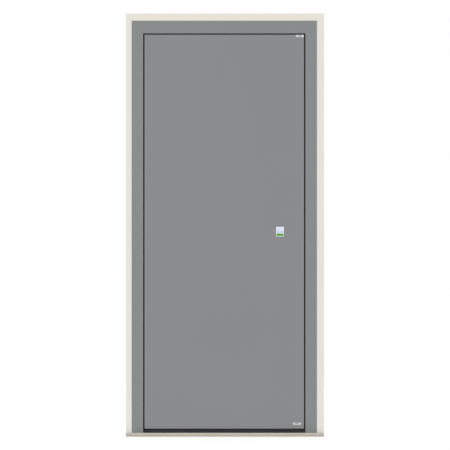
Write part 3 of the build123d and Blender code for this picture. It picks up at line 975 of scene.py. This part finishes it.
# %% [markdown]
# ## Screws by Geometry Nodes
#
# Hinges, strikes and the lock strip are held by the same raised screw, forty times. Copies made by hand are
# hard to change, so one Geometry Nodes tree makes the head and puts it on every place. The places are
# loose points, each with a direction called facing. The head is a flat cone whose points are lifted into a
# dome, less a six-sided key socket. A random turn with a fixed seed keeps the sockets from lining up. The
# tree ends by realizing the copies and setting their finish, because an export drops instances.

# %% The screw's head
HEAD_SIDES = 24
HEAD_STEPS = 4
HEAD_CROWN = 0.45

screw_tree, asked = new_tree(
    "raised_screw_heads",
    [
        ("Places", "Geometry"),
        ("Head Radius", "Float"),
        ("Head Height", "Float"),
        ("Socket Radius", "Float"),
        ("Seed", "Int"),
        ("Finish", "Material"),
    ],
    "Screws",
)
cone = put(
    screw_tree,
    "GeometryNodeMeshCone",
    Vertices=HEAD_SIDES,
    Side_Segments=HEAD_STEPS,
    Radius_Top=maths(screw_tree, "MULTIPLY", asked["Head Radius"], HEAD_CROWN),
    Radius_Bottom=asked["Head Radius"],
    Depth=asked["Head Height"],
)
point = split(screw_tree, put(screw_tree, "GeometryNodeInputPosition").outputs["Position"])
flat_point = put(screw_tree, "ShaderNodeCombineXYZ", X=point["X"], Y=point["Y"]).outputs["Vector"]
share = maths(screw_tree, "DIVIDE", length_of(screw_tree, flat_point), asked["Head Radius"])
rise = maths(screw_tree, "SUBTRACT", 1.0, maths(screw_tree, "MULTIPLY", share, share))
domed_point = put(
    screw_tree,
    "ShaderNodeCombineXYZ",
    X=point["X"],
    Y=point["Y"],
    Z=maths(screw_tree, "MULTIPLY", rise, asked["Head Height"]),
)
dome = put(
    screw_tree,
    "GeometryNodeSetPosition",
    Geometry=cone.outputs["Mesh"],
    Position=domed_point.outputs["Vector"],
)
print("faces round the head before its socket is cut:", HEAD_SIDES * HEAD_STEPS)

# %% Cut the key socket
SOCKET_SIDES = 6
SOCKET_FLOOR = 0.25
KEY_LENGTH = 2.0

key = put(
    screw_tree,
    "GeometryNodeMeshCylinder",
    Vertices=SOCKET_SIDES,
    Radius=asked["Socket Radius"],
    Depth=maths(screw_tree, "MULTIPLY", asked["Head Height"], KEY_LENGTH),
)
key_lift = maths(screw_tree, "MULTIPLY", asked["Head Height"], SOCKET_FLOOR + KEY_LENGTH / 2)
key_place = put(screw_tree, "ShaderNodeCombineXYZ", Z=key_lift).outputs["Vector"]
key_up = put(screw_tree, "GeometryNodeTransform", Geometry=key.outputs["Mesh"], Translation=key_place)
head = put(screw_tree, "GeometryNodeMeshBoolean", {"operation": "DIFFERENCE", "solver": "EXACT"})
fill(screw_tree, head.inputs["Mesh 1"], dome.outputs["Geometry"])
fill(screw_tree, head.inputs["Mesh 2"], key_up.outputs["Geometry"])
print("socket floor at", SOCKET_FLOOR, "of the head's height")

# %% Copy the head to its places
upright = put(screw_tree, "FunctionNodeAlignRotationToVector", {"axis": "Z"}, Vector=facing_in(screw_tree))
any_turn = put(
    screw_tree,
    "FunctionNodeRandomValue",
    {"data_type": "FLOAT_VECTOR"},
    Min=(0.0, 0.0, 0.0),
    Max=(0.0, 0.0, math.tau),
    Seed=asked["Seed"],
)
about_axis = put(screw_tree, "FunctionNodeEulerToRotation", Euler=any_turn.outputs["Value"])
tightened = put(
    screw_tree,
    "FunctionNodeRotateRotation",
    {"rotation_space": "LOCAL"},
    Rotation=upright.outputs["Rotation"],
    Rotate_By=about_axis.outputs["Rotation"],
)
copies = put(
    screw_tree,
    "GeometryNodeInstanceOnPoints",
    Points=asked["Places"],
    Instance=head.outputs["Mesh"],
    Rotation=tightened.outputs["Rotation"],
)
end_tree(screw_tree, copies.outputs["Instances"], asked["Finish"])

# %% [markdown]
# ## Where the screws go
#
# Each hinge plate has four screws, set in a zigzag so that they do not split the wood along one line of
# grain. The strikes in the frame and the long strip on the leaf's edge have theirs on the centre line, clear
# of the bolts. The frame and the leaf move apart when the door opens, so each body gets a set of its own.

# %% Screw places
HINGE_PLATE = 0.003
HINGE_SCREWS_IN = 0.013
HINGE_SCREWS = ((-0.038, -0.004), (-0.013, 0.004), (0.013, -0.004), (0.038, 0.004))
STRIKE_SCREWS = {"bottom": (-0.034, 0.034), "middle": (-0.080, 0.0, 0.080), "top": (-0.034, 0.034)}
STRIP_SCREWS = (0.0225, 0.2175, 0.4975, 0.7575, 0.8815, 1.0075, 1.3075, 1.5475, 1.7375)
LEFTWARDS = Vector((-1, 0, 0))

places = {"frame": [], "leaf": []}
for body in places:
    for level in LEVELS:
        low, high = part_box(f"hinge_{body}_half_{level}")
        column = low.x + HINGE_SCREWS_IN if body == "frame" else high.x - HINGE_SCREWS_IN
        for up, aside in HINGE_SCREWS:
            spot = Vector((column + aside, low.y + HINGE_PLATE, (low.z + high.z) / 2 + up))
            places[body].append((spot, ROOMWARDS))
for level, heights in STRIKE_SCREWS.items():
    strike = middle_of("strike_plate_" + level)
    strike.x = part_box("strike_plate_" + level)[0].x
    for up in heights:
        places["frame"].append((strike + up * UPWARDS, LEFTWARDS))
strip_low, strip_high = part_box("lock_face_strip")
for up in STRIP_SCREWS:
    spot = Vector((strip_high.x, (strip_low.y + strip_high.y) / 2, strip_low.z + up))
    places["leaf"].append((spot, -LEFTWARDS))
print("screws:", {body: len(spots) for body, spots in places.items()})

# %% Put the screws in
SCREW_SIZES = {"Head Radius": 0.0040, "Head Height": 0.0013, "Socket Radius": 0.0015}
SCREW_SINK = 0.0001
SCREW_SEED = {"frame": 11, "leaf": 23}

for body, spots in places.items():
    sunk = [spot - SCREW_SINK * out for spot, out in spots]
    seeds = seed_points("screw_places_" + body, sunk, [out for spot, out in spots])
    settings = {**SCREW_SIZES, "Seed": SCREW_SEED[body], "Finish": plate_steel}
    hang_on(grow("screws_" + body, seeds, screw_tree, settings), body)

# %% [markdown]
# ## A sealant bead round the frame
#
# The grey shell stands a few millimetres in front of the painted boards, and the step between them is filled
# with a gunned and smoothed bead, so that rain cannot run in behind. It follows the frame up, across and
# down. Curve to Mesh can sweep a section along such a path, but it makes the sweep thinner at a corner. So
# the tree keeps the spot on the path and the offset in the section for each point of the sweep, and then puts
# the point exactly: from the spot, outwards by one offset and inwards by the other. At a corner the outward
# direction is longer, which gives a clean mitre. A little smooth chance in the width looks hand-made.

# %% Sweep the bead
bead_tree, asked = new_tree(
    "gunned_bead",
    [
        ("Path", "Geometry"),
        ("Section", "Object"),
        ("Waver", "Float"),
        ("Waves", "Float"),
        ("Finish", "Material"),
    ],
    "Bead",
)


def kept_place(tree, mesh, name):
    """A mesh of edges as a curve, and the place of each of its points, kept for later."""
    curve = put(tree, "GeometryNodeMeshToCurve", Mesh=mesh).outputs["Curve"]
    keeper = put(tree, "GeometryNodeCaptureAttribute", Geometry=curve)
    keeper.capture_items.new("VECTOR", name)
    fill(tree, keeper.inputs[name], put(tree, "GeometryNodeInputPosition").outputs["Position"])
    return keeper.outputs["Geometry"], keeper.outputs[name]


section = put(bead_tree, "GeometryNodeObjectInfo", Object=asked["Section"]).outputs["Geometry"]
path_curve, spot = kept_place(bead_tree, asked["Path"], "spot")
section_curve, offset = kept_place(bead_tree, section, "offset")
sweep = put(
    bead_tree,
    "GeometryNodeCurveToMesh",
    Curve=path_curve,
    Profile_Curve=section_curve,
    Fill_Caps=True,
)
print(bead_tree.name, "sweeps a section along a path")


# %% Put the bead's points in place
def moved(tree, geometry, **where):
    """The geometry with its points at a new position, or shifted by an offset."""
    return put(tree, "GeometryNodeSetPosition", Geometry=geometry, **where).outputs["Geometry"]


offsets = split(bead_tree, offset)
waver = ranged(
    bead_tree,
    noise(bead_tree, spot, asked["Waves"]),
    maths(bead_tree, "SUBTRACT", 1.0, asked["Waver"]),
    maths(bead_tree, "ADD", 1.0, asked["Waver"]),
)
outwards = scaled(bead_tree, facing_in(bead_tree), maths(bead_tree, "MULTIPLY", offsets["X"], waver))
inwards = put(bead_tree, "ShaderNodeCombineXYZ", Y=offsets["Y"]).outputs["Vector"]
bead = moved(bead_tree, sweep.outputs["Mesh"], Position=spot)
bead = moved(bead_tree, bead, Offset=outwards)
bead = moved(bead_tree, bead, Offset=inwards)
end_tree(bead_tree, bead, asked["Finish"])

# %% The bead's path
BEAD_STEP = 0.030

shell_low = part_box("shell_hinge_side")[0]
shell_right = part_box("shell_lock_side")[1].x
shell_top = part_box("shell_head")[1].z
corners = [
    Vector((shell_low.x, shell_low.y, shell_low.z)),
    Vector((shell_low.x, shell_low.y, shell_top)),
    Vector((shell_right, shell_low.y, shell_top)),
    Vector((shell_right, shell_low.y, shell_low.z)),
]
at_corner = [LEFTWARDS, LEFTWARDS + UPWARDS, UPWARDS - LEFTWARDS, -LEFTWARDS]

spots = corners[:1]
directions = at_corner[:1]
for leg in range(len(corners) - 1):
    start, end = corners[leg], corners[leg + 1]
    count = round((end - start).length / BEAD_STEP)
    spots += [start.lerp(end, step / count) for step in range(1, count + 1)]
    straight_out = (at_corner[leg] + at_corner[leg + 1]) / 2
    directions += [straight_out] * (count - 1) + [at_corner[leg + 1]]
path_edges = [(step, step + 1) for step in range(len(spots) - 1)]
path = seed_points("bead_path", spots, directions, path_edges)
print("points on the path:", len(spots))

# %% Sealant bead
BEAD_SECTION = [
    (0.0004, 0.0042),
    (0.0026, 0.0042),
    (0.0030, 0.0030),
    (0.0016, 0.0026),
    (0.0007, 0.0020),
    (0.0, 0.0012),
]
BEAD_WAVER = 0.22
BEAD_WAVES = 9.0

section_mesh = bpy.data.meshes.new("bead_section")
section_points = [(out, into, 0.0) for out, into in BEAD_SECTION]
section_edges = [(step, (step + 1) % len(BEAD_SECTION)) for step in range(len(BEAD_SECTION))]
section_mesh.from_pydata(section_points, section_edges, [])
bead_section = bpy.data.objects.new("bead_section", section_mesh)
settings = {"Section": bead_section, "Waver": BEAD_WAVER, "Waves": BEAD_WAVES, "Finish": cream_sealant}
hang_on(grow("sealant_bead", path, bead_tree, settings), "frame")
bpy.data.objects.remove(bead_section)
bpy.data.meshes.remove(section_mesh)

# %% [markdown]
# ## A rubber lip under the leaf
#
# Wind would blow through the slot between the leaf and the threshold, so a strip of rubber is glued under the
# leaf. Its thin lip hangs down and almost brushes the threshold. It is pushed through a die in one long run,
# so one outline says it all: the same points at both ends of the leaf, joined along its width.

# %% Lip strip
LIP_OUTLINE = [
    (0.0020, -0.0001),
    (0.0140, -0.0001),
    (0.0140, 0.0011),
    (0.0056, 0.0013),
    (0.0042, 0.0022),
    (0.0029, 0.0044),
    (0.0020, 0.0044),
]
LIP_SHORT = 0.004

shape = bmesh.new()
lip_ends = []
for end_x in (skin_low.x + LIP_SHORT, skin_high.x - LIP_SHORT):
    points = [(end_x, skin_low.y + into, skin_low.z - down) for into, down in LIP_OUTLINE]
    lip_ends.append([shape.verts.new(point) for point in points])
join_rows(shape, lip_ends)
for lip_end in lip_ends:
    shape.faces.new(lip_end)
new_piece("leaf_lip_strip", shape, lip_rubber, "leaf")
